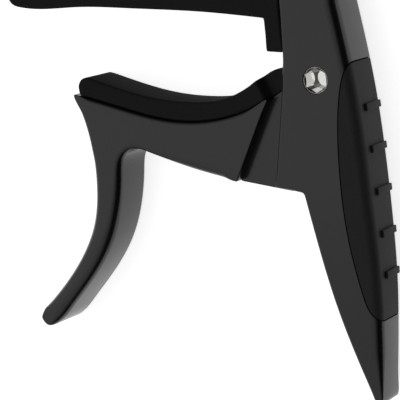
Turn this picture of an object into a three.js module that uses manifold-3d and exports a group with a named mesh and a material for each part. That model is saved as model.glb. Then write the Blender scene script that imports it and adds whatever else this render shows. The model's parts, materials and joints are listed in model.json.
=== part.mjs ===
// Spring-clamp guitar capo, lying on its rear side.
//
// Two die-cast halves turn on a hollow pivot pin with a hexagon socket in its front end. The frame
// carries the string pad on its arm and a rubber grip on its handle, and the jaw carries the neck pad
// and ends in a finger trigger. A torsion spring inside the frame's fork pushes the jaw shut.
//
// Millimetres. X runs along the arm, from its tip towards the handle, Y runs from the handle's end up
// to the arm, and Z is the thickness, from the rear face at 0 up to the front face. Every outline is
// drawn with the pivot axis at X 0, Y 0, and the finished group is moved to the middle of its own box.

import * as THREE from 'three';
import { mergeVertices } from 'three/addons/utils/BufferGeometryUtils.js';
import Module from 'manifold-3d';

const wasm = await Module();
wasm.setup();

// ---- Driving dimensions ----

// Castings
const thickness = 11.6;
const edgeRound = 0.6;
const armReach = 76.8;
const armDepth = 5.2;
const armRise = 5.4;
const throatHeight = 12.8;
const stringRadius = 430;
const throatInset = 7.3;
const shoulderReach = 4.3;
const handleDrop = 70;
const handleReach = 15.1;
const handleRootX = -2.1;
const cheekDrop = 23.2;
const tipRound = 0.72;
const tipThickness = 8.4;
const jawReach = 58;
const jawRise = 16.2;
const saddleDrop = 10.7;
const triggerDrop = 60.4;
const triggerReach = 68.2;
const triggerRoot = 6.2;

// Pivot, fork and stop
const pinRadius = 2.75;
const pinInset = 0.25;
const socketFlats = 4.2;
const socketDepth = 5;
const socketTurn = 6;
const boreRadius = 1.9;
const runningGap = 0.05;
const cheekWall = 2.1;
const washerThickness = 0.4;
const lugWall = 2.6;
const forkGap = 0.5;
const noseHeight = 2.2;
const noseAngle = 25;
const stopAngle = 99.5;
const openAngle = 18;
const stepGap = 0.8;
const stepSink = 0.4;

// Torsion spring
const wireDiameter = 1.4;
const coilTurns = 1.5;
const coilGap = 0.45;
const springLeg = 13;

// Rubber pads and grip
const padRecess = 0.5;
const stringPadHeight = 4.7;
const tabThickness = 3.5;
const tabDrop = 7.5;
const neckPadThickness = 4.1;
const keyWidth = 3;
const keyHeight = 1.4;
const gripSideWall = 1;
const gripBackWall = 1.5;
const gripTop = 4.8;
const gripLength = 54.6;
const gripFrontX = 5;
const ribCount = 5;
const ribTopInset = 10.1;
const ribFootInset = 9.9;
const ribHeight = 0.7;
const ribWidth = 1.5;
const ribRearInset = 1.2;
const ribFrontInset = 3;
const fitGap = 0.1;

// ---- Sizes that follow from them ----

const middle = thickness / 2;
const holeRadius = pinRadius + runningGap;
const sideGap = washerThickness + 2 * runningGap;
const tongueWidth = thickness - 2 * (cheekWall + sideGap);
const lugRadius = holeRadius + lugWall;
const coilRadius = pinRadius + coilGap + wireDiameter / 2;
const coilPitch = wireDiameter * 1.03;
const springSlotWidth = coilPitch * coilTurns + wireDiameter + 0.3;
const legSlotX = coilRadius + wireDiameter / 2 + 0.15;
const seatY = throatHeight + stringPadHeight;
const armTop = seatY + armDepth + armRise;
const gripFoot = gripTop - gripLength;
const ribPitch = (gripLength - ribTopInset - ribFootInset) / (ribCount - 1);

// ---- Shape helpers ----

const point = (x, y) => new THREE.Vector2(x, y);
const corner = (x, y, radius) => Object.assign(point(x, y), { radius });
const samples = (curve, count) => curve.getPoints(count);

function arcAround(centre, radius, from, to, count) {
  // points on a circle between two angles in degrees, measured from +X
  const points = [];
  for (let i = 0; i <= count; i++) {
    const angle = THREE.MathUtils.degToRad(from + (to - from) * i / count);
    points.push(point(centre.x + radius * Math.cos(angle), centre.y + radius * Math.sin(angle)));
  }
  return points;
}

function roundedCorner(before, at, after, count = 4) {
  // the arc that touches both sides of a corner
  const a = before.clone().sub(at).normalize();
  const b = after.clone().sub(at).normalize();
  const half = Math.acos(THREE.MathUtils.clamp(a.dot(b), -1, 1)) / 2;
  const centre = a.clone().add(b).normalize().multiplyScalar(at.radius / Math.sin(half)).add(at);
  const start = at.clone().addScaledVector(a, at.radius / Math.tan(half)).sub(centre);
  const end = at.clone().addScaledVector(b, at.radius / Math.tan(half)).sub(centre);
  const turn = Math.atan2(start.cross(end), start.dot(end));
  const points = [];
  for (let i = 0; i <= count; i++) {
    points.push(start.clone().rotateAround(point(0, 0), turn * i / count).add(centre));
  }
  return points;
}

function outline(...pieces) {
  // a closed shape from points, runs of points and rounded corners, in order
  const knots = pieces.flat();
  const points = knots.flatMap((knot, i) => {
    const before = knots[(i + knots.length - 1) % knots.length];
    const after = knots[(i + 1) % knots.length];
    return knot.radius ? roundedCorner(before, knot, after) : [knot];
  });
  return new THREE.Shape(points);
}

function solid(geometry) {
  // a closed three.js geometry as a solid that can be cut and joined
  const bare = geometry.index ? geometry.toNonIndexed() : geometry.clone();
  bare.deleteAttribute('normal');
  bare.deleteAttribute('uv');
  const merged = mergeVertices(bare, 1e-4);
  const corners = Array.from(merged.index.array);
  const kept = corners.filter((_, i) => {
    const [a, b, c] = corners.slice(i - i % 3, i - i % 3 + 3);
    return a !== b && b !== c && c !== a;
  });
  return new wasm.Manifold(new wasm.Mesh({
    numProp: 3,
    vertProperties: new Float32Array(merged.attributes.position.array),
    triVerts: new Uint32Array(kept),
  }));
}

function slab(shape, low, high, round = 0) {
  // an outline given thickness between two heights, with its edges rounded over
  const geometry = new THREE.ExtrudeGeometry(shape, {
    depth: high - low - 2 * round,
    bevelEnabled: round > 0,
    bevelThickness: round,
    bevelSize: round,
    bevelOffset: -round,
    bevelSegments: 2,
    curveSegments: 24,
  });
  return solid(geometry.translate(0, 0, low + round));
}

function disc(radius, low, high, sides = 48) {
  return slab(new THREE.Shape(arcAround(point(0, 0), radius, 0, 360 - 360 / sides, sides - 1)), low, high);
}

function meshOf(name, body, material) {
  const result = body.getMesh();
  const geometry = new THREE.BufferGeometry();
  geometry.setAttribute('position', new THREE.BufferAttribute(new Float32Array(result.vertProperties), 3));
  geometry.setIndex(new THREE.BufferAttribute(new Uint32Array(result.triVerts), 1));
  const mesh = new THREE.Mesh(geometry, material);
  mesh.name = name;
  return mesh;
}

const coating = (color) => new THREE.MeshStandardMaterial({ color, roughness: 0.45, metalness: 0.2 });
const rubber = (color) => new THREE.MeshStandardMaterial({ color, roughness: 0.8, metalness: 0 });
const steel = (color) => new THREE.MeshStandardMaterial({ color, roughness: 0.25, metalness: 1 });

// ---- Curves that mating pieces share ----

// the spine's inner edge, in two straight stretches that meet beside the pivot
const innerEdge = {
  top: point(-throatInset - 1.4, seatY),
  bend: point(-throatInset, 3.5),
  foot: point(-throatInset - 1.9, 0.4 - cheekDrop),
};

// the outer edge of the spine and handle, straight down at its lower end
const backEdge = new THREE.QuadraticBezierCurve(
  point(shoulderReach, 16),
  point(handleReach, -21),
  point(handleReach, 4.2 - handleDrop),
);

// the jaw's upper edge, on which the neck pad sits
const seatCurve = new THREE.SplineCurve([
  point(-jawReach, -6.6),
  point(-0.8 * jawReach, 1.7 - saddleDrop),
  point(-0.58 * jawReach, -saddleDrop),
  point(-0.4 * jawReach, 0.9 - saddleDrop),
  point(-0.23 * jawReach, 4.9 - saddleDrop),
  point(-0.11 * jawReach, 9.4 - saddleDrop),
]);

// the step where the jaw narrows to the tongue: swung fully open, it stops just short of the cheeks
const stepTop = stepPoint(seatHeight() - stepSink);
const stepFoot = stepPoint(-cheekDrop - 3.8);

function stepPoint(y) {
  const share = (y - innerEdge.bend.y) / (innerEdge.foot.y - innerEdge.bend.y);
  const beside = point(innerEdge.bend.x + (innerEdge.foot.x - innerEdge.bend.x) * share - stepGap, y);
  return beside.rotateAround(point(0, 0), -THREE.MathUtils.degToRad(openAngle));
}

function seatHeight() {
  // how high up the cheek's edge the step, swung with it, comes out through the jaw's upper edge
  const seat = samples(seatCurve, 400);
  const above = (at) => at.y > seat.find((near) => near.x >= at.x).y;
  let y = 0;
  while (above(stepPoint(y))) {
    y -= 0.1;
  }
  return y;
}

function shiftedBack(inset, count) {
  // the outer edge, moved inwards by a constant distance
  return samples(backEdge, count).map((at, i) => {
    const along = backEdge.getTangent(i / count);
    return point(at.x + along.y * inset, at.y - along.x * inset);
  });
}

// ---- Frame casting: arm, spine with its fork, and handle ----

function frameOutline(inset) {
  return outline(
    corner(innerEdge.foot.x, innerEdge.foot.y, 0.8),
    point(handleRootX, -cheekDrop - 0.4),
    samples(new THREE.QuadraticBezierCurve(
      point(handleRootX, -cheekDrop - 0.4),
      point(handleRootX + 6.2, 22.8 - handleDrop),
      point(handleReach - 1.9, 4.2 - handleDrop),
    ), 12).slice(1),
    corner(handleReach, -handleDrop, tipRound),
    shiftedBack(inset, 16).reverse(),
    corner(shoulderReach - 3.1, armTop, 9),
    samples(new THREE.QuadraticBezierCurve(
      point(-12, armTop),
      point(-0.55 * armReach, armTop),
      point(3 - armReach, seatY + armDepth),
    ), 8),
    corner(-armReach, seatY + armDepth - 1, 2),
    corner(-armReach, seatY, 1),
    innerEdge.top,
    innerEdge.bend,
  );
}

function tapered(body, inset) {
  // the handle thins evenly from the fork's foot to its end, on both faces
  const drop = (thickness - tipThickness) / 2;
  const far = -handleDrop - 5;
  const slope = drop / (handleDrop - cheekDrop);
  const wedge = new THREE.Shape([
    point(-cheekDrop, 0),
    point(-cheekDrop, -5),
    point(far, -5),
    point(far, slope * (handleDrop + 5 - cheekDrop)),
  ]);
  const geometry = new THREE.ExtrudeGeometry(wedge, { depth: 60, bevelEnabled: false });
  geometry.applyMatrix4(new THREE.Matrix4().makeBasis(
    new THREE.Vector3(0, 1, 0),
    new THREE.Vector3(0, 0, 1),
    new THREE.Vector3(1, 0, 0),
  ));
  geometry.translate(-30, 0, 0);
  const rear = solid(geometry.clone().translate(0, 0, inset));
  const front = solid(geometry.clone().rotateY(Math.PI).translate(0, 0, thickness - inset));
  return body.subtract(rear).subtract(front);
}

function gripFront(gap) {
  // the long curved edge where the rubber meets the bare metal, on both faces
  return samples(new THREE.SplineCurve([
    point(gripFrontX + 6.5, gripTop + 1.4 - gap),
    point(gripFrontX + 2.6 + gap, gripTop - gap),
    point(gripFrontX + 0.8 + gap, gripTop - 4.2),
    point(gripFrontX + gap, gripTop - 0.256 * gripLength),
    point(gripFrontX + 0.8 + gap, gripTop - 0.476 * gripLength),
    point(gripFrontX + 3.9 + gap, gripFoot + 11.8),
    point(gripFrontX + 7.9 + gap, gripFoot + 1.7 + gap),
    point(gripFrontX + 11, gripFoot + gap),
  ]), 24);
}

function gripZone(gap) {
  // the patch of the handle that the rubber covers, from that edge to beyond the back
  const beyond = handleReach + 10;
  return slab(outline(
    gripFront(gap),
    point(beyond, gripFoot + gap),
    point(beyond, gripTop + 1.4 - gap),
  ), -1, thickness + 1);
}

function handleCore(extra) {
  // the thinner web of metal that the rubber is moulded round
  const inner = gripSideWall - extra;
  const back = outline(
    shiftedBack(gripBackWall - extra, 16),
    point(-30, -handleDrop),
    point(-30, 20),
  );
  return tapered(slab(back, inner, thickness - inner), inner).intersect(gripZone(-1.2));
}

function forkSlot() {
  // the hollow between the two cheeks: round the lug, the stop pocket, and down behind the spring
  const reach = lugRadius + forkGap;
  const pocket = reach + noseHeight + 0.4;
  const floor = cheekDrop + 3.3;
  const mouth = outline(
    point(-20, innerEdge.bend.y + 1.1),
    point(0, innerEdge.bend.y + 1.1),
    point(0, 0),
    point(legSlotX + 0.2, -2),
    point(legSlotX + 0.2, -cheekDrop + 3),
    point(legSlotX - 1.4, -cheekDrop - 1.3),
    point(-1, -floor),
    point(-20, -floor),
  );
  const stopPocket = new THREE.Shape([
    point(0, 0),
    ...arcAround(point(0, 0), pocket, stopAngle - 1, stopAngle + noseAngle + openAngle + 6, 8),
  ]);
  return slab(mouth, cheekWall, thickness - cheekWall)
    .add(disc(reach, cheekWall, thickness - cheekWall))
    .add(slab(stopPocket, cheekWall, thickness - cheekWall));
}

function frameCasting() {
  const full = tapered(slab(frameOutline(0), 0, thickness, edgeRound), 0);
  return full
    .subtract(gripZone(0))
    .add(handleCore(0))
    .subtract(forkSlot())
    .subtract(disc(holeRadius, -1, thickness + 1))
    .subtract(keyBar(fitGap));
}

// ---- Handle grip: rubber moulded round the handle, with raised ribs across its back ----

function ribs() {
  const bars = [];
  for (let i = 0; i < ribCount; i++) {
    const y = gripTop - ribTopInset - i * ribPitch;
    let share = 0;
    while (backEdge.getPoint(share).y > y) {
      share += 0.002;
    }
    const at = backEdge.getPoint(share);
    const along = backEdge.getTangent(share);
    const out = point(-along.y, along.x);
    const place = (side, lift) => at.clone().addScaledVector(along, side).addScaledVector(out, lift);
    const half = ribWidth / 2;
    const shape = outline(
      place(half, -gripBackWall / 2),
      Object.assign(place(half, ribHeight), { radius: 0.4 }),
      Object.assign(place(-half, ribHeight), { radius: 0.4 }),
      place(-half, -gripBackWall / 2),
    );
    const thinning = Math.max(0, -cheekDrop - y) * (thickness - tipThickness) / 2 / (handleDrop - cheekDrop);
    bars.push(slab(shape, ribRearInset + thinning, thickness - ribFrontInset - thinning));
  }
  return bars.reduce((all, bar) => all.add(bar));
}

function handleGrip() {
  const full = tapered(slab(frameOutline(0), 0, thickness, edgeRound), 0);
  return full.intersect(gripZone(fitGap)).subtract(handleCore(fitGap)).add(ribs());
}

// ---- Jaw casting: saddle, tongue with its lug, and finger trigger ----

function jawBody() {
  const tipX = -triggerReach;
  const tipY = -triggerDrop;
  const waist = -jawReach + 4.8;
  const inside = waist + triggerRoot;
  const shape = outline(
    samples(seatCurve, 30).filter((at) => at.x > 2.2 - jawReach && at.x < stepTop.x - 1.5),
    stepTop,
    stepFoot,
    samples(new THREE.QuadraticBezierCurve(
      stepFoot,
      point(-31, -0.885 * cheekDrop),
      point(-41, -1.1 - jawRise),
    ), 5).slice(1),
    corner(inside, 0.4 - jawRise, 3.6),
    samples(new THREE.CubicBezierCurve(
      point(inside, -21),
      point(inside + 0.4, -35),
      point(inside - 5.6, -46),
      point(tipX + 5, tipY + 3.2),
    ), 12),
    corner(tipX + 2.9, tipY - 0.6, 1.8),
    corner(tipX - 0.8, tipY + 2.6, 1.8),
    samples(new THREE.CubicBezierCurve(
      point(tipX + 1.3, tipY + 5.1),
      point(tipX + 7.7, tipY + 11.6),
      point(waist - 0.2, -39),
      point(waist, -27),
    ), 10),
    samples(new THREE.QuadraticBezierCurve(
      point(waist, -27),
      point(waist, -18.3),
      point(0.6 - jawReach, -9),
    ), 6).slice(1),
    corner(-jawReach, -6.7, 1),
  );
  return slab(shape, 0, thickness, edgeRound);
}

function jawTongue() {
  const low = middle - tongueWidth / 2;
  const high = middle + tongueWidth / 2;
  const foot = point(-6, -cheekDrop - 0.3);
  const tangent = Math.atan2(foot.y, foot.x) + Math.acos(lugRadius / foot.length());
  const seat = samples(seatCurve, 30).filter((at) => at.x > stepTop.x - 6);
  const web = outline(
    point(stepFoot.x - 2, stepFoot.y + 0.4),
    stepFoot,
    Object.assign(foot, { radius: 1 }),
    point(lugRadius * Math.cos(tangent), lugRadius * Math.sin(tangent)),
    point(0, 0),
    seat.reverse(),
  );
  const nose = new THREE.Shape([
    point(0, 0),
    ...arcAround(point(0, 0), lugRadius + noseHeight, stopAngle, stopAngle + noseAngle, 4),
  ]);
  return slab(web, low, high).add(disc(lugRadius, low, high)).add(slab(nose, low, high));
}

function springSlot() {
  const low = middle - springSlotWidth / 2;
  const high = middle + springSlotWidth / 2;
  const legs = outline(
    point(-legSlotX, 0),
    point(-legSlotX, -springLeg - 1.5),
    point(lugRadius + 5, -springLeg - 1.5),
    point(lugRadius + 5, 0),
  );
  return slab(legs, low, high).add(disc(coilRadius + wireDiameter / 2 + 0.35, low, high));
}

function jawCasting() {
  return jawBody().add(jawTongue()).subtract(springSlot()).subtract(disc(holeRadius, -1, thickness + 1));
}

// ---- Pads ----

function stringArc(from, to, count) {
  // the string face: a shallow arc hollowed to the fretboard's curve, level at the arm's middle
  const crown = -0.476 * armReach;
  const points = [];
  for (let i = 0; i <= count; i++) {
    const x = from + (to - from) * i / count;
    points.push(point(x, throatHeight - (x - crown) ** 2 / (2 * stringRadius)));
  }
  return points;
}

function stringPad() {
  const back = (y) => innerEdge.bend.x - fitGap - 1.4 * (y - innerEdge.bend.y) / (seatY - innerEdge.bend.y);
  const top = seatY - fitGap;
  const tabFoot = throatHeight - tabDrop;
  const shape = outline(
    point(back(tabFoot), tabFoot),
    corner(back(tabFoot) - tabThickness, tabFoot, 0.7),
    stringArc(back(throatHeight) - tabThickness, 3.8 - armReach, 15),
    corner(0.6 - armReach, throatHeight - 1.3, 2.4),
    corner(0.6 - armReach, top, 0.6),
    point(back(top), top),
  );
  return slab(shape, padRecess, thickness - padRecess, 0.35).add(keyBar(0));
}

function keyBar(gap) {
  // the rib along the pad's back that holds it in the arm's groove
  const shape = outline(
    point(6 - armReach - gap, seatY - 1),
    point(innerEdge.top.x - 8 + gap, seatY - 1),
    point(innerEdge.top.x - 8 + gap, seatY - fitGap + keyHeight + gap),
    point(6 - armReach - gap, seatY - fitGap + keyHeight + gap),
  );
  return slab(shape, middle - keyWidth / 2 - gap, middle + keyWidth / 2 + gap);
}

function neckPad() {
  const seat = samples(seatCurve, 24);
  const above = (distance, from, to) => seat.map((at, i) => {
    const along = seatCurve.getTangent(i / 24);
    return point(at.x - along.y * distance, at.y + along.x * distance);
  }).slice(from, to);
  const end = -lugRadius - forkGap - 0.5;
  const shape = outline(
    above(fitGap, 0, 24).filter((at) => at.x < end - 0.4),
    point(end, seatCurve.getPoint(1).y + 0.2),
    corner(end, neckPadThickness - 2.4, 0.5),
    corner(end - 5.2, neckPadThickness - 2.9, 2),
    above(neckPadThickness, 2, 21).reverse(),
    corner(3.2 - jawReach, neckPadThickness - 7.1, 0.9),
    corner(1.6 - jawReach, neckPadThickness - 7.6, 0.8),
  );
  const wide = outline(
    point(-jawReach - 5, -30),
    point(stepTop.x + 2.9, stepTop.y - 5),
    point(stepTop.x - 4.4, stepTop.y + 7.6),
    point(-jawReach - 5, 20),
  );
  const body = slab(shape, padRecess, thickness - padRecess, 0.4).intersect(slab(wide, -1, thickness + 1));
  return body.add(slab(shape, middle - tongueWidth / 2 + 0.1, middle + tongueWidth / 2 - 0.1));
}

// ---- Pivot pin, washers and spring ----

function ring(inner, outer, low, high) {
  return disc(outer, low, high).subtract(disc(inner, low - 1, high + 1));
}

function pivotPin() {
  const front = thickness - pinInset;
  const corners = arcAround(point(0, 0), socketFlats / Math.sqrt(3), 30 + socketTurn, 330 + socketTurn, 5);
  const socket = slab(new THREE.Shape(corners), front - socketDepth, front + 1);
  return ring(boreRadius, pinRadius, pinInset, front).subtract(socket);
}

function washer(low) {
  return ring(holeRadius, lugRadius - 0.3, low, low + washerThickness);
}

class SpringPath extends THREE.Curve {
  // up the fixed leg, round the coil, and down the moving leg
  getPoint(share, target = new THREE.Vector3()) {
    const coilLength = 2 * Math.PI * coilRadius * coilTurns;
    const total = coilLength + 2 * springLeg;
    const run = share * total;
    const start = middle - coilPitch * coilTurns / 2;
    if (run < springLeg) {
      return target.set(coilRadius, run - springLeg, start);
    }
    if (run > springLeg + coilLength) {
      return target.set(-coilRadius, springLeg + coilLength - run, start + coilPitch * coilTurns);
    }
    const turn = (run - springLeg) / coilRadius;
    return target.set(
      coilRadius * Math.cos(turn),
      coilRadius * Math.sin(turn),
      start + coilPitch * turn / (2 * Math.PI),
    );
  }
}

function torsionSpring() {
  const section = new THREE.Shape(arcAround(point(0, 0), wireDiameter / 2, 0, 324, 9));
  return solid(new THREE.ExtrudeGeometry(section, { steps: 64, extrudePath: new SpringPath() }));
}

// ---- Assembly ----

const capo = new THREE.Group();
const lowWasher = cheekWall + runningGap;
const highWasher = thickness - cheekWall - runningGap - washerThickness;
capo.add(
  meshOf('frame_casting', frameCasting(), coating(0x232323)),
  meshOf('jaw_casting', jawCasting(), coating(0x262626)),
  meshOf('string_pad', stringPad(), rubber(0x181818)),
  meshOf('neck_pad', neckPad(), rubber(0x1a1a1a)),
  meshOf('handle_grip', handleGrip(), rubber(0x1c1c1c)),
  meshOf('pivot_pin', pivotPin(), steel(0xc8c8c8)),
  meshOf('rear_washer', washer(lowWasher), rubber(0xe8e4d8)),
  meshOf('front_washer', washer(highWasher), rubber(0xe8e4d8)),
  meshOf('torsion_spring', torsionSpring(), steel(0x8a8a8a)),
);

const box = new THREE.Box3().setFromObject(capo);
capo.position.set(-(box.min.x + box.max.x) / 2, -(box.min.y + box.max.y) / 2, -box.min.z);

export default capo;
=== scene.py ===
import json

import bmesh
import bpy
import numpy as np
from mathutils import Matrix, Vector


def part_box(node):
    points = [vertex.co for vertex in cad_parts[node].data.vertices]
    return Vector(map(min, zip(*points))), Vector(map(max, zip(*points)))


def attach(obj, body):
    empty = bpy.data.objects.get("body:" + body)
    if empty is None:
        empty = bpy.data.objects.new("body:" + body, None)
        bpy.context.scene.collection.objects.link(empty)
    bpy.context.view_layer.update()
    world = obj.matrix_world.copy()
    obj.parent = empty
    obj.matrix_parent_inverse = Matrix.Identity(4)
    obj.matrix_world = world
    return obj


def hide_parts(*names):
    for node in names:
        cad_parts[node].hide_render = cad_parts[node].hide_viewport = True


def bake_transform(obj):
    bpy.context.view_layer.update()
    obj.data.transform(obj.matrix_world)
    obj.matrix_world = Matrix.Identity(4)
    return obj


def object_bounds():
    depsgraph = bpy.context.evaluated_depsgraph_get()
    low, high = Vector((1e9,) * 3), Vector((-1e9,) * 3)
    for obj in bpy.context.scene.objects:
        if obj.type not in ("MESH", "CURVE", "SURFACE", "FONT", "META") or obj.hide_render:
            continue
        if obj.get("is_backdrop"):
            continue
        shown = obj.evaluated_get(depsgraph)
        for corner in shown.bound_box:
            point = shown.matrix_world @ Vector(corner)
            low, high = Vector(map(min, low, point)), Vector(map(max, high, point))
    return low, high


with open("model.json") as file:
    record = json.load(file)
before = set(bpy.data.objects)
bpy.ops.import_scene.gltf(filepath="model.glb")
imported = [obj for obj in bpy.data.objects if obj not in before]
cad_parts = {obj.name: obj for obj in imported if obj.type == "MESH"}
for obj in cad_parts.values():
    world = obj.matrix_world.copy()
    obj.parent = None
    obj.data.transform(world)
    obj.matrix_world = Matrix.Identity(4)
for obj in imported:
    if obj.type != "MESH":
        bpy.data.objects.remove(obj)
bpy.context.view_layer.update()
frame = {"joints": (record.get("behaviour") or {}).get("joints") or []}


# ---- Frame casting ----
# The string arm, the spine with its fork and the handle are one aluminium die casting. It is tumbled
# and powder coated. Outlines are drawn in millimetres from the pivot axis, heights from the rear face.

MM = 0.001
pivot = Vector(frame["joints"][0]["pos_m"])
thick = (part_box("frame_casting")[1].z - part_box("frame_casting")[0].z) / MM
middle = thick / 2
back_round = 2.3
inner_round = 0.8
rear_round = 1.3
cheek_wall = 2.1
hole_radius = 2.8
taper_start = -23.2
taper_end = -67.2
taper_share = 0.73
overshoot = 1


def curve(points, spacing=0.25):
    """Natural cubic spline: between two points the path is the cubic that keeps slope and bend
    equal across every join, with no bend at the two ends."""
    knots = np.asarray(points, float)
    count = len(knots)
    along = np.append(0, np.cumsum(np.linalg.norm(np.diff(knots, axis=0), axis=1)))
    gap = np.diff(along)
    slope = np.diff(knots, axis=0) / gap[:, None]
    inner = np.arange(1, count - 1)
    system = np.eye(count)
    system[inner, inner - 1] = gap[:-1]
    system[inner, inner] = 2 * (gap[:-1] + gap[1:])
    system[inner, inner + 1] = gap[1:]
    wanted = np.zeros_like(knots)
    wanted[1:-1] = 6 * np.diff(slope, axis=0)
    bend = np.linalg.solve(system, wanted)
    at = np.linspace(0, along[-1], int(along[-1] / spacing) + 2)
    span = np.clip(np.searchsorted(along, at) - 1, 0, count - 2)
    width = gap[span][:, None]
    b = (at - along[span])[:, None] / width
    a = 1 - b
    cubic = ((a ** 3 - a) * bend[span] + (b ** 3 - b) * bend[span + 1]) * width ** 2 / 6
    return a * knots[span] + b * knots[span + 1] + cubic


def arc(radius, start, end, count=40):
    """Points on a circle about the pivot axis, between two angles in degrees."""
    turn = np.radians(np.linspace(start, end, count))
    return radius * np.column_stack([np.cos(turn), np.sin(turn)])


def blur(values, spacing, width):
    """Bell-curve blur along a closed run of evenly spaced values: each wave that makes up the run is
    weakened by exp(-2 (pi width frequency)^2)."""
    count = len(values)
    pull = np.exp(-2 * (np.pi * width * np.fft.rfftfreq(count, spacing)) ** 2)
    waves = np.fft.rfft(values, axis=0)
    return np.fft.irfft((waves.T * pull).T, count, axis=0)


def outline(*runs, soft=0.4, spacing=0.2):
    """One closed anticlockwise outline through runs of points: resampled at even steps, then blurred
    along its length, which rounds its corners."""
    path = np.vstack([np.atleast_2d(run) for run in runs])
    closed = np.vstack([path, path[:1]])
    along = np.append(0, np.cumsum(np.linalg.norm(np.diff(closed, axis=0), axis=1)))
    count = int(along[-1] / spacing)
    at = np.arange(count) * along[-1] / count
    even = np.column_stack([np.interp(at, along, closed[:, axis]) for axis in (0, 1)])
    smooth = blur(even, along[-1] / count, soft)
    ahead = np.roll(smooth, -1, 0)
    area = np.sum(smooth[:, 0] * ahead[:, 1] - smooth[:, 1] * ahead[:, 0])
    return smooth if area > 0 else smooth[::-1]


def disc(radius):
    """A circle about the pivot axis as a closed outline, in steps of 3 degrees."""
    return outline(arc(radius, 0, 357, 120), soft=0.05)


def inward(shape):
    """Unit vectors pointing into an anticlockwise outline, square to its chords."""
    chord = np.roll(shape, -1, 0) - np.roll(shape, 1, 0)
    return np.column_stack([-chord[:, 1], chord[:, 0]]) / np.linalg.norm(chord, axis=1)[:, None]


def room(shape):
    """Radius of the largest circle inside an outline that touches it at each point: the smallest
    |q - p|^2 / (2 n.(q - p)) over all its other points q."""
    step = shape[None] - shape[:, None]
    ahead = np.einsum("ijk,ik->ij", step, inward(shape))
    reach = (step ** 2).sum(2)
    return np.where(ahead > 1e-6, reach / np.maximum(2 * ahead, 1e-6), np.inf).min(1)


def stack(name, rings):
    """Closed surface through a stack of closed rings: square (k, i) joins points i and i + 1 of rings
    k and k + 1, and a flat face closes each end. All faces are reversed if the volume they enclose
    comes out negative, so they point outwards."""
    layers, count = rings.shape[:2]
    k, i = np.meshgrid(np.arange(layers - 1), np.arange(count), indexing="ij")
    j = (i + 1) % count
    squares = np.stack([k * count + i, (k + 1) * count + i, (k + 1) * count + j, k * count + j], -1)
    first = list(range(count))
    last = list(range(layers * count - 1, (layers - 1) * count - 1, -1))
    mesh = bpy.data.meshes.new(name)
    mesh.from_pydata(rings.reshape(-1, 3).tolist(), [], squares.reshape(-1, 4).tolist() + [first, last])
    form = bmesh.new()
    form.from_mesh(mesh)
    if form.calc_volume(signed=True) < 0:
        bmesh.ops.reverse_faces(form, faces=form.faces)
    form.to_mesh(mesh)
    form.free()
    piece = bpy.data.objects.new(name, mesh)
    bpy.context.collection.objects.link(piece)
    return piece


def plate(name, shape, low, high, rounding=0.0, steps=7, under=None):
    """A plate with rounded edges. Ring v is the outline moved inwards by r (1 - sin v), at the height
    r (1 - cos v) from a face; r is the rounding, one for the plate or one for each point of its
    outline, or less where the outline has no room for it. Under is the lower face's own rounding."""
    room_used, neighbours, flat_rim = 0.8, 8, 0.06
    rounded = np.max(rounding) > 0
    turn = np.linspace(0, np.pi / 2, steps + 1) if rounded else np.array([np.pi / 2])
    into, down = 1 - np.sin(turn), 1 - np.cos(turn)
    edges = [np.zeros(len(shape))] * 2
    if rounded:
        fits = room_used * room(shape)
        limits = [np.minimum(wish, fits) for wish in (rounding, rounding if under is None else under)]
        # each point takes the smallest rounding among its neighbours, and a blur fades one into the next
        shifts = range(-neighbours, neighbours + 1)
        lowest = [np.min([np.roll(limit, shift) for shift in shifts], axis=0) for limit in limits]
        edges = [blur(limit, 1.0, neighbours / 2) for limit in lowest]
        # a hair's breadth of flat face round each end keeps the rounding's shading off the faces
        into, down = np.append(1 + flat_rim / np.min(rounding), into), np.append(0, down)
    sideways = np.vstack([into[:, None] * edges[0], into[::-1, None] * edges[1]])
    spot = shape + sideways[..., None] * inward(shape)
    height = np.vstack([high - down[:, None] * edges[0], low + down[::-1, None] * edges[1]])
    return stack(name, np.concatenate([spot, height[..., None]], -1))


def through(name, shape):
    """A cutting tool with straight walls that passes right through the capo from rear to front."""
    return plate(name, shape, -overshoot, thick + overshoot)


def carve(piece, tool, how="DIFFERENCE"):
    """Cuts a tool out of a piece, joins it on or keeps what they share, and uses the tool up."""
    cut = piece.modifiers.new("cut", "BOOLEAN")
    cut.object, cut.operation, cut.solver = tool, how, "EXACT"
    shaped = piece.evaluated_get(bpy.context.evaluated_depsgraph_get())
    old, piece.data = piece.data, bpy.data.meshes.new_from_object(shaped)
    piece.modifiers.clear()
    bpy.data.meshes.remove(old)
    bpy.data.objects.remove(tool)
    return piece


def thin(piece, start, direction, depth, share):
    """Scales a piece's thickness about its middle plane by a share that depends on how far a point
    lies along a direction. Cuts across the piece let its flat faces follow."""
    form = bmesh.new()
    form.from_mesh(piece.data)
    direction = Vector(direction).normalized()
    for distance in depth:
        everything = form.verts[:] + form.edges[:] + form.faces[:]
        at = Vector(start) + direction * float(distance)
        bmesh.ops.bisect_plane(form, geom=everything, plane_co=at, plane_no=direction, dist=1e-5)
    form.to_mesh(piece.data)
    form.free()
    spots = np.empty(len(piece.data.vertices) * 3)
    piece.data.vertices.foreach_get("co", spots)
    spots = spots.reshape(-1, 3)
    along = (spots - np.array(start)) @ np.array(direction)
    spots[:, 2] = middle + (spots[:, 2] - middle) * np.interp(along, depth, share)
    piece.data.vertices.foreach_set("co", spots.ravel())
    return piece


def thin_handle(piece):
    """The handle's even taper, eased in over two millimetres."""
    depth = np.array([-1, 0, 1, taper_start - taper_end])
    even = 1 - (1 - taper_share) * depth / depth[-1]
    share = np.array([1, 1 - (1 - even[2]) / 4, *even[2:]])
    return thin(piece, (0, taper_start, middle), (0, -1, 0), depth, share)


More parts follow.
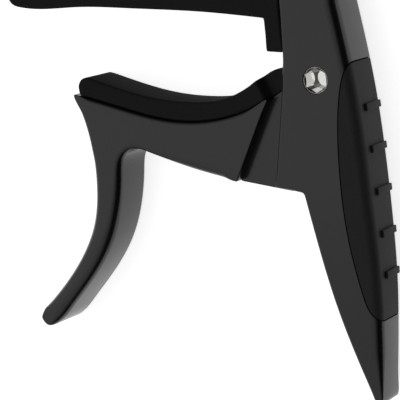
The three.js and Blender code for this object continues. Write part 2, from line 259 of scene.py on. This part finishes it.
def settle(piece, node, body, material, sharp=35):
    """Puts a finished piece in the frame, in metres, gives it its material and shading, and hides the
    part it stands for. A piece with no body is not attached to one."""
    piece.data.transform(Matrix.Translation((pivot.x, pivot.y, 0)) @ Matrix.Scale(MM, 4))
    piece.data.materials.clear()
    piece.data.materials.append(material)
    piece.data.shade_smooth()
    piece.data.set_sharp_from_angle(angle=np.radians(sharp))
    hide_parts(node)
    if body:
        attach(piece, body)
    return piece


def linear(code):
    """Linear colour from an sRGB hex code: each channel c becomes ((c + 0.055) / 1.055)^2.4, or
    c / 12.92 near black."""
    c = np.array([int(code[i:i + 2], 16) for i in (1, 3, 5)]) / 255
    return (*np.where(c > 0.04045, ((c + 0.055) / 1.055) ** 2.4, c / 12.92), 1)


def add(tree, kind, inputs=None, **settings):
    """Adds a node. Settings are its own properties, and inputs gives sockets a value or a link."""
    made = tree.nodes.new(kind)
    for name, value in settings.items():
        setattr(made, name, value)
    for name, value in (inputs or {}).items():
        if isinstance(value, bpy.types.NodeSocket):
            tree.links.new(value, made.inputs[name])
        else:
            made.inputs[name].default_value = value
    return made


def new_material(name):
    """An empty material with its shader, output and Object coordinates."""
    material = bpy.data.materials.new(name)
    material.use_nodes = True
    tree = material.node_tree
    tree.nodes.clear()
    shader = add(tree, "ShaderNodeBsdfPrincipled")
    add(tree, "ShaderNodeOutputMaterial", {"Surface": shader.outputs[0]})
    place = add(tree, "ShaderNodeTexCoord").outputs["Object"]
    return material, tree, shader, place


def powder_coat():
    """Polyester powder coat, baked on: satin black, with a faint orange-peel wave about 1 mm long and
    fine grains of 0.25 mm, and patches a little glossier where it is handled."""
    material, tree, shader, place = new_material("satin_powder_coat")
    peel = add(tree, "ShaderNodeTexNoise", {"Vector": place, "Scale": 1 / (1.1 * MM), "Detail": 2.0})
    grain = add(tree, "ShaderNodeTexNoise", {"Vector": place, "Scale": 1 / (0.25 * MM), "Detail": 1.0})
    patch = add(tree, "ShaderNodeTexNoise", {"Vector": place, "Scale": 1 / (14 * MM), "Detail": 3.0})
    gloss = add(tree, "ShaderNodeMapRange", {"Value": patch.outputs["Fac"], "To Min": 0.2, "To Max": 0.26})
    tone = add(tree, "ShaderNodeValToRGB", {"Fac": grain.outputs["Fac"]})
    tone.color_ramp.elements[0].color = linear("#0a0a0b")
    tone.color_ramp.elements[1].color = linear("#121213")
    wave = add(tree, "ShaderNodeBump",
               {"Height": peel.outputs["Fac"], "Strength": 0.12, "Distance": 0.03 * MM})
    pits = add(tree, "ShaderNodeBump",
               {"Height": grain.outputs["Fac"], "Strength": 0.15, "Distance": 0.015 * MM,
                "Normal": wave.outputs[0]})
    tree.links.new(tone.outputs[0], shader.inputs["Base Color"])
    tree.links.new(gloss.outputs[0], shader.inputs["Roughness"])
    tree.links.new(pits.outputs[0], shader.inputs["Normal"])
    shader.inputs["IOR"].default_value = 1.5
    return material


coat = powder_coat()

arm_seat = 17.5
cheek_foot = (-9.15, -22.9)
frame_shape = outline(
    [cheek_foot, (-2.7, -23.7)],
    curve([(-2.7, -23.7), (0.65, -35.2), (4.25, -46.1), (8.3, -55.9), (13, -65.8)]),
    curve([(13.6, -66.8), (14.35, -67.3), (14.95, -66.8)]),
    curve([(15.1, -66), (14.9, -52), (14.35, -41), (12.25, -23.7), (9.25, -4.7), (7.15, 4.8), (4.2, 16)]),
    curve([(4.2, 16), (3.3, 20.6), (0.6, 24.7), (-4.2, 27.4), (-11, 28.1)]),
    curve([(-11, 28.1), (-30, 27.5), (-52, 25.9), (-73.5, 22.7)]),
    [(-75.6, 22), (-76.8, 20.6), (-76.8, arm_seat), (-8.75, arm_seat)],
    [(-8.2, 12.5), (-7.6, 3.8), (-7.75, -2.2)],
)

# the rubber's patch of the handle, and the thinner web of metal inside it
grip_patch = outline(
    curve([(9.7, 6), (8, 5), (6.3, 2.3), (5.2, -3.5), (5.05, -11.5), (5.7, -20.5), (7.3, -31.6),
           (10.6, -43.7), (12.9, -48.1), (15.9, -49.8)]),
    [(25, -49.8), (25, 6.8)],
    soft=0.45,
)
web_depth = 1.0
back_depth = 1.5
web_foot = -58
web_head = 14
web_left = -30
# how far left an edge's inward direction points: the whole back with its corners, and its straight run
on_back = -0.2
on_straight_back = -0.8


def web(extra):
    """The metal inside the rubber, larger by a clearance where it is cut out of the rubber: all that
    lies left of the handle's back edge, moved inwards by the rubber's depth less the clearance."""
    moved = frame_shape + inward(frame_shape) * (back_depth - extra)
    faces_back = inward(frame_shape)[:, 0] < on_straight_back
    edge = moved[faces_back & (frame_shape[:, 1] > web_foot) & (frame_shape[:, 1] < web_head)]
    shape = np.vstack([edge, [(web_left, edge[-1, 1]), (web_left, edge[0, 1])]])
    return plate("web", shape, web_depth - extra, thick - web_depth + extra)


pocket = carve(through("pocket", grip_patch), web(0))
fork = outline(
    [(-20, 4.6)],
    arc(8.5, 149, 98.5),
    arc(5.9, 98.5, -20),
    [(4.95, -4), (4.95, -20.2), (3.35, -24.5), (-1, -26.5), (-20, -26.5)],
    soft=0.25,
)
frame_edges = np.where(inward(frame_shape)[:, 0] < on_back, back_round, inner_round)
frame_rear = np.minimum(frame_edges, rear_round)
frame_casting = plate("frame_body", frame_shape, 0, thick, frame_edges, under=frame_rear)
carve(frame_casting, pocket)
carve(frame_casting, plate("fork", fork, cheek_wall, thick - cheek_wall))
carve(frame_casting, through("hole", disc(hole_radius)))
settle(thin_handle(frame_casting), "frame_casting", "frame", coat)


# ---- Handle grip ----
# Soft rubber is moulded round the back of the handle, flush with its faces, and leaves a thin line
# of shadow where it meets the metal. Five ribs across the back keep the palm from slipping.

rib_first = -5.3
rib_pitch = 8.65
rib_count = 5
rib_width = 1.5
rib_height = 0.65
rib_sunk = 0.8
rib_rear = 1.2
rib_front = thick - 3.6
grip_round = 2.0
grip_parting = 0.25
web_clearance = 0.1


def soft_rubber(name, low, high, rough, speck, specular):
    """Moulded rubber: near black, with the fine spark-eroded grain of its mould, specks of a size in
    millimetres, and a broad dull sheen."""
    material, tree, shader, place = new_material(name)
    grain = add(tree, "ShaderNodeTexNoise", {"Vector": place, "Scale": 1 / (speck * MM), "Detail": 3.0})
    cloud = add(tree, "ShaderNodeTexNoise", {"Vector": place, "Scale": 1 / (9 * MM), "Detail": 2.0})
    gloss = add(tree, "ShaderNodeMapRange",
                {"Value": cloud.outputs["Fac"], "To Min": rough - 0.05, "To Max": rough + 0.05})
    tone = add(tree, "ShaderNodeValToRGB", {"Fac": grain.outputs["Fac"]})
    tone.color_ramp.elements[0].color = linear(low)
    tone.color_ramp.elements[1].color = linear(high)
    pits = add(tree, "ShaderNodeBump",
               {"Height": grain.outputs["Fac"], "Strength": 0.25, "Distance": 0.02 * MM})
    tree.links.new(tone.outputs[0], shader.inputs["Base Color"])
    tree.links.new(gloss.outputs[0], shader.inputs["Roughness"])
    tree.links.new(pits.outputs[0], shader.inputs["Normal"])
    shader.inputs["Specular IOR Level"].default_value = specular
    return material


grip_rubber = soft_rubber("soft_touch_rubber", "#202021", "#2c2c2d", 0.6, 0.3, 0.15)

handle_grip = plate("grip_body", frame_shape, 0, thick, grip_round, under=rear_round)
patch_inside = grip_patch + inward(grip_patch) * grip_parting
carve(handle_grip, through("patch", patch_inside), "INTERSECT")
carve(handle_grip, web(web_clearance))
# a rib stands on the back edge, so points of the handle's inner edge count as this much further off
handle_left, back_left, further = 6, 8.4, 5
back = frame_shape[frame_shape[:, 0] > handle_left]
for level in rib_first - rib_pitch * np.arange(rib_count):
    at = back[np.argmin(abs(back[:, 1] - level) + further * (back[:, 0] < back_left))]
    index = np.argmin(((frame_shape - at) ** 2).sum(1))
    out = -inward(frame_shape)[index]
    along = np.array([-out[1], out[0]])
    corners = np.array([(-1, -rib_sunk), (1, -rib_sunk), (1, rib_height), (-1, rib_height)])
    shape = at + corners[:, :1] * along * rib_width / 2 + corners[:, 1:] * out
    bar = plate("bar", outline(shape, soft=0.15, spacing=0.06), rib_rear, rib_front, 0.2, 3)
    carve(handle_grip, bar, "UNION")
settle(thin_handle(handle_grip), "handle_grip", "frame", grip_rubber)


# ---- String pad ----
# A bar of black silicone rubber is glued under the arm, hollowed a little to the fretboard's curve,
# and turns down beside the spine in a short tab.

pad_inset = 0.5
pad_round = 0.55
parting = 0.12

pad_rubber = soft_rubber("silicone_rubber", "#222223", "#2c2c2d", 0.85, 0.35, 0.03)
string_pad_shape = outline(
    [(-8.95, arm_seat - parting), (-76.2, arm_seat - parting), (-76.2, 14.2)],
    curve([(-75.2, 12.9), (-74.2, 11.9), (-72.6, 11.45), (-58, 12.1), (-44.6, 12.5), (-27, 12.6),
           (-12.2, 12)]),
    [(-11.4, 5.2), (-7.65, 5.2)],
    soft=0.3,
)
string_pad = plate("string_rubber", string_pad_shape, pad_inset, thick - pad_inset, pad_round)
settle(string_pad, "string_pad", "frame", pad_rubber)


# ---- Pivot pin ----
# The halves turn on a hollow plated steel pin, turned on a lathe. A hexagon socket is broached into
# its front end, with a chamfer that runs out to the pin's edge.

pin_radius = 2.75
pin_recess = 0.25
socket_flats = 4.5
socket_depth = 5.0
socket_turn = 6
bore_radius = 1.9


def turned(name, radii, heights, sides=96):
    """A lathe-turned body: a circle of radius r_k at each height h_k."""
    turn = np.linspace(0, 2 * np.pi, sides, endpoint=False)
    circle = np.stack([np.cos(turn), np.sin(turn)], -1)
    spot = np.array(radii)[:, None, None] * circle
    height = np.broadcast_to(np.array(heights)[:, None, None], (*spot.shape[:2], 1))
    return stack(name, np.concatenate([spot, height], -1))


def plated_steel():
    """Nickel-plated steel: bright, with rings of 0.4 mm left by the lathe."""
    material, tree, shader, place = new_material("nickel_plated_steel")
    centred = add(tree, "ShaderNodeMapping", {"Vector": place, "Location": (-pivot.x, -pivot.y, 0)})
    rings = add(tree, "ShaderNodeTexWave",
                {"Vector": centred.outputs[0], "Scale": 1 / (2.5 * MM), "Distortion": 0.4},
                wave_type="RINGS", rings_direction="Z")
    haze = add(tree, "ShaderNodeTexNoise", {"Vector": place, "Scale": 1 / (0.8 * MM), "Detail": 3.0})
    gloss = add(tree, "ShaderNodeMapRange", {"Value": haze.outputs["Fac"], "To Min": 0.04, "To Max": 0.12})
    cuts = add(tree, "ShaderNodeBump",
               {"Height": rings.outputs["Fac"], "Strength": 0.15, "Distance": 0.01 * MM})
    shader.inputs["Base Color"].default_value = linear("#dcdbd8")
    shader.inputs["Metallic"].default_value = 1.0
    tree.links.new(gloss.outputs[0], shader.inputs["Roughness"])
    tree.links.new(cuts.outputs[0], shader.inputs["Normal"])
    return material


pin_front = thick - pin_recess
bevel = 0.25
broken_edge = 0.08
chamfer_root = 1.6
chamfer_depth = 0.9
chamfer_mouth = pin_radius - 0.12
pivot_pin = turned("pivot_steel",
                   [pin_radius - bevel, pin_radius, pin_radius, pin_radius - broken_edge],
                   [pin_recess, pin_recess + bevel, pin_front - broken_edge, pin_front])
carve(pivot_pin, turned("bore", [bore_radius, bore_radius], [-overshoot, thick + overshoot]))
corners = arc(socket_flats / np.sqrt(3), 30 + socket_turn, 390 + socket_turn, 7)[:-1]
hexagon = outline(corners, soft=0.06, spacing=0.05)
carve(pivot_pin, plate("socket", hexagon, pin_front - socket_depth, pin_front + overshoot))
carve(pivot_pin, turned("chamfer",
                        [chamfer_root, chamfer_mouth, chamfer_mouth],
                        [pin_front - chamfer_depth, pin_front, pin_front + overshoot]))
settle(pivot_pin, "pivot_pin", "frame", plated_steel(), 25)


# ---- Washers ----
# A nylon washer on each side of the tongue keeps the two castings apart and quiet.

washer_thick = 0.4
washer_radius = 5.1
washer_round = 0.1
running_gap = 0.05


def nylon():
    """Natural nylon: milky, slightly waxy, with faint flow clouds of 2 mm."""
    material, tree, shader, place = new_material("natural_nylon")
    cloud = add(tree, "ShaderNodeTexNoise", {"Vector": place, "Scale": 1 / (2 * MM), "Detail": 2.0})
    tone = add(tree, "ShaderNodeValToRGB", {"Fac": cloud.outputs["Fac"]})
    tone.color_ramp.elements[0].color = linear("#d2ccba")
    tone.color_ramp.elements[1].color = linear("#e4dfd0")
    tree.links.new(tone.outputs[0], shader.inputs["Base Color"])
    shader.inputs["Roughness"].default_value = 0.5
    return material


washer_nylon = nylon()
lower = cheek_wall + running_gap
upper = thick - cheek_wall - running_gap - washer_thick
for name, node, low in (("rear_nylon", "rear_washer", lower), ("front_nylon", "front_washer", upper)):
    washer = plate(name, disc(washer_radius), low, low + washer_thick, washer_round, 3)
    carve(washer, plate("hole", disc(hole_radius), low - overshoot, low + overshoot))
    settle(washer, node, "frame", washer_nylon)


# ---- Torsion spring ----
# One and a half turns of 1.4 mm music wire round the pin. One leg lies on the fork's back wall and
# the other presses on the tongue.

wire = 1.4
coil_radius = 3.9
coil_turns = 1.5
leg = 13.0
end_taper = 0.4
end_flat = 0.36


def spring_wire():
    """Drawn music wire, stress relieved: grey steel with a thin film of oil and fine drawing marks."""
    material, tree, shader, place = new_material("oiled_spring_steel")
    marks = add(tree, "ShaderNodeTexNoise", {"Vector": place, "Scale": 1 / (0.5 * MM), "Detail": 4.0})
    gloss = add(tree, "ShaderNodeMapRange", {"Value": marks.outputs["Fac"], "To Min": 0.25, "To Max": 0.4})
    shader.inputs["Base Color"].default_value = linear("#8b8a88")
    shader.inputs["Metallic"].default_value = 1.0
    tree.links.new(gloss.outputs[0], shader.inputs["Roughness"])
    return material


# the wire's centre: straight up one leg, a helix of 1.03 wire diameters a turn, straight down the other
coil = 2 * np.pi * coil_radius * coil_turns
run = np.linspace(0, coil + 2 * leg, 300)
turn = np.clip(run - leg, 0, coil) / coil_radius
below = np.minimum(run - leg, 0) - np.maximum(run - leg - coil, 0)
pitch = 1.03 * wire
centre = np.column_stack([coil_radius * np.cos(turn), coil_radius * np.sin(turn) + below,
                          middle + pitch * (turn / (2 * np.pi) - coil_turns / 2)])
outwards = np.column_stack([np.cos(turn), np.sin(turn), np.zeros(len(run))])
around = np.linspace(0, 2 * np.pi, 20, endpoint=False)[None, :, None]
# each cut end is rounded like a ball, down to 0.6 of the wire's thickness at its flat
to_end = np.minimum(run, run[-1] - run)
ends = np.sqrt(np.clip(1 - (1 - to_end / end_taper).clip(0) ** 2, end_flat, 1))[:, None, None]
section = np.cos(around) * outwards[:, None] + np.sin(around) * np.array([0, 0, 1.0])
torsion_spring = stack("spring_coil", centre[:, None] + wire / 2 * ends * section)
settle(torsion_spring, "torsion_spring", None, spring_wire(), 60)
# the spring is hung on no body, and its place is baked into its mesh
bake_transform(torsion_spring)


# ---- Jaw casting ----
# The second die casting carries the neck pad on its saddle, narrows at a step to the tongue that
# turns inside the fork, and runs down into the finger trigger. It has the same powder coat.

jaw_round = 1.15
step_round = 0.35
tongue_half = 3.2
tongue_round = 0.3
lug_radius = 5.4
nose_height = 2.2
step_top = (-10.95, -4.6)
step_foot = (-18.1, -22.65)
saddle = curve([(-58.3, -6.7), (-46.5, -8.9), (-35, -10.65), (-24, -9.9), (-13.4, -5.9), (-6.4, -1.2)])
on_body = saddle[saddle[:, 0] < step_top[0] - 0.4]
jaw_shape = outline(
    on_body,
    [step_top, step_foot],
    curve([step_foot, (-29.5, -20.8), (-40, -18.2)])[1:],
    curve([(-40, -18.2), (-43.3, -17.75), (-45.9, -19.3), (-46.9, -24), (-47.4, -30), (-49.4, -38.1),
           (-54.7, -47.6), (-60.6, -55.2), (-64.1, -58.9), (-66.6, -59.8), (-68.2, -58)])[1:],
    curve([(-67.4, -55.8), (-63.7, -51.6), (-57.6, -43), (-54, -33.5), (-53.5, -26), (-55, -15.5),
           (-58.2, -7.4)]),
    soft=0.3,
)
tongue_shape = outline(
    [(-20.2, -22), (-18.1, -22.9), (-6, -24)],
    arc(lug_radius, -28, 99.5),
    arc(lug_radius + nose_height, 99.5, 124.5),
    arc(lug_radius, 124.5, 180),
    saddle[saddle[:, 0] > -16][::-1],
    [(-17.5, -12)],
    soft=0.25,
)
spring_room = outline([(-4.75, 0), (-4.75, -14.5), (10.4, -14.5), (10.4, 0)], soft=0.1)
spring_half = 1.93
coil_room = 4.95

# the trigger's front edges grow rounder towards its tip, and the step's edge is nearly sharp
trigger_heights = [-58, -36, -20, -17]
trigger_rounds = [3.0, 2.2, 1.6, jaw_round]
jaw_edges = np.interp(jaw_shape[:, 1], trigger_heights, trigger_rounds)
step_left, step_below, faces_right = -18.6, -5.4, inward(jaw_shape)[:, 0] < -0.5
at_step = (jaw_shape[:, 0] > step_left) & (jaw_shape[:, 1] < step_below) & faces_right
jaw_edges = np.where(at_step, step_round, jaw_edges)
jaw_rear = np.minimum(jaw_edges, rear_round)
jaw_casting = plate("jaw_body", jaw_shape, 0, thick, jaw_edges, under=jaw_rear)
tongue = plate("tongue", tongue_shape, middle - tongue_half, middle + tongue_half, tongue_round, 3)
carve(tongue, plate("legs", spring_room, middle - spring_half, middle + spring_half))
carve(tongue, plate("coil", disc(coil_room), middle - spring_half, middle + spring_half))
carve(tongue, through("hole", disc(hole_radius)))
carve(jaw_casting, tongue, "UNION")
settle(jaw_casting, "jaw_casting", "jaw", coat)


# ---- Neck pad ----
# A strip of the same silicone rubber is glued along the saddle. Where it enters the fork it narrows
# to the tongue's width in one soft step.

seat_gap = 0.04
neck_left = -57.2
neck_right = -6.6
side_gap = 0.1
narrow_at = (-12.2, -3, middle)
narrow_towards = (0.86, 0.5, 0)
narrow_half = 0.9

neck_low = saddle[saddle[:, 0] < neck_right] + (0, seat_gap)
neck_shape = outline(
    neck_low[neck_low[:, 0] > neck_left],
    [(neck_right, 1.6)],
    curve([(-7.5, 2.1), (-11, 1.05), (-15.4, -2.1), (-19, -4.3), (-23, -5.8), (-29, -6.55), (-37.5, -6.4),
           (-46.8, -4.9), (-54, -3.2)]),
    curve([(-55.4, -2.95), (-56.8, -3.55), (-57.5, -5)]),
    soft=0.3,
)
neck_pad = plate("neck_rubber", neck_shape, pad_inset, thick - pad_inset, pad_round)
# half a cosine wave from the full width to just under the tongue's width
step_run = np.linspace(-narrow_half, narrow_half, 13)
narrow = (2 * tongue_half - 2 * side_gap) / (thick - 2 * pad_inset)
ease = narrow + (1 - narrow) * (1 + np.cos(np.pi * (step_run + narrow_half) / (2 * narrow_half))) / 2
thin(neck_pad, narrow_at, narrow_towards, step_run, ease)
settle(neck_pad, "neck_pad", "jaw", pad_rubber)


# ---- Floor, light and camera ----
# The capo lies on its rear side on a pale sheet that is lit from below as well as above. A broad
# pale sky stands over its left, and the right is dark, so rounded edges facing right stay black.

def pale_sheet():
    """Opal acrylic over a light box: white, and glowing a little."""
    material, tree, shader, place = new_material("opal_acrylic")
    cloud = add(tree, "ShaderNodeTexNoise", {"Vector": place, "Scale": 1 / (60 * MM), "Detail": 2.0})
    tone = add(tree, "ShaderNodeValToRGB", {"Fac": cloud.outputs["Fac"]})
    tone.color_ramp.elements[0].color = linear("#f0f0f0")
    tone.color_ramp.elements[1].color = linear("#f4f4f4")
    tree.links.new(tone.outputs[0], shader.inputs["Base Color"])
    shader.inputs["Roughness"].default_value = 0.9
    shader.inputs["Specular IOR Level"].default_value = 0.0
    shader.inputs["Emission Color"].default_value = linear("#ffffff")
    shader.inputs["Emission Strength"].default_value = 0.8
    return material


floor_size = 3.0
floor_mesh = bpy.data.meshes.new("floor")
side = floor_size / 2
floor_corners = [(-side, -side, 0), (side, -side, 0), (side, side, 0), (-side, side, 0)]
floor_mesh.from_pydata(floor_corners, [], [(0, 1, 2, 3)])
floor_mesh.materials.append(pale_sheet())
floor = bpy.data.objects.new("floor", floor_mesh)
bpy.context.collection.objects.link(floor)
floor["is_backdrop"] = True

world = bpy.data.worlds.new("studio")
bpy.context.scene.world = world
world.use_nodes = True
sky = world.node_tree
sky.nodes.clear()
toward = add(sky, "ShaderNodeTexCoord").outputs["Generated"]
side_light = Vector((-0.62, -0.2, 0.75)).normalized()
facing = add(sky, "ShaderNodeVectorMath", {0: toward, 1: side_light}, operation="DOT_PRODUCT")
glow = add(sky, "ShaderNodeMapRange",
           {"Value": facing.outputs["Value"], "From Min": 0.25, "From Max": 0.85, "To Min": 0.02,
            "To Max": 0.72}, interpolation_type="SMOOTHSTEP")
lamp = add(sky, "ShaderNodeBackground", {"Color": (1, 1, 1, 1), "Strength": glow.outputs[0]})
add(sky, "ShaderNodeOutputWorld", {"Surface": lamp.outputs[0]})

softbox = bpy.data.objects.new("softbox", bpy.data.lights.new("softbox", "AREA"))
softbox.data.shape = "RECTANGLE"
softbox.data.size, softbox.data.size_y = 0.26, 0.3
softbox.data.energy = 0.05
softbox_at = Vector((-0.235, -0.02, 0.3))
softbox_to = Vector((-0.03, -0.02, 0))
pivot_foot = Vector((pivot.x, pivot.y, 0))
softbox.location = softbox_at + pivot_foot
softbox.rotation_euler = (softbox_at - softbox_to).to_track_quat("Z", "Y").to_euler()
bpy.context.collection.objects.link(softbox)

bpy.context.scene.view_settings.view_transform = "Standard"

lens = 183.6
camera_distance = 432.2
aim = Vector((-26.95, -27.25, thick))
backwards = Vector((0.4789, 0.2007, 0.8546)).normalized()
sideways = Vector((-0.0915, 0.9796, -0.1788)).cross(backwards).normalized()
upwards = backwards.cross(sideways)
camera = bpy.data.objects.new("camera", bpy.data.cameras.new("camera"))
camera.data.lens = lens
camera.data.sensor_width = 36
camera.data.clip_start = 0.01
turned_to = Matrix((sideways, upwards, backwards)).transposed().to_4x4()
camera_at = pivot_foot + (aim + backwards * camera_distance) * MM
camera.matrix_world = Matrix.Translation(camera_at) @ turned_to
bpy.context.collection.objects.link(camera)
bpy.context.scene.camera = camera

low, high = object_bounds()
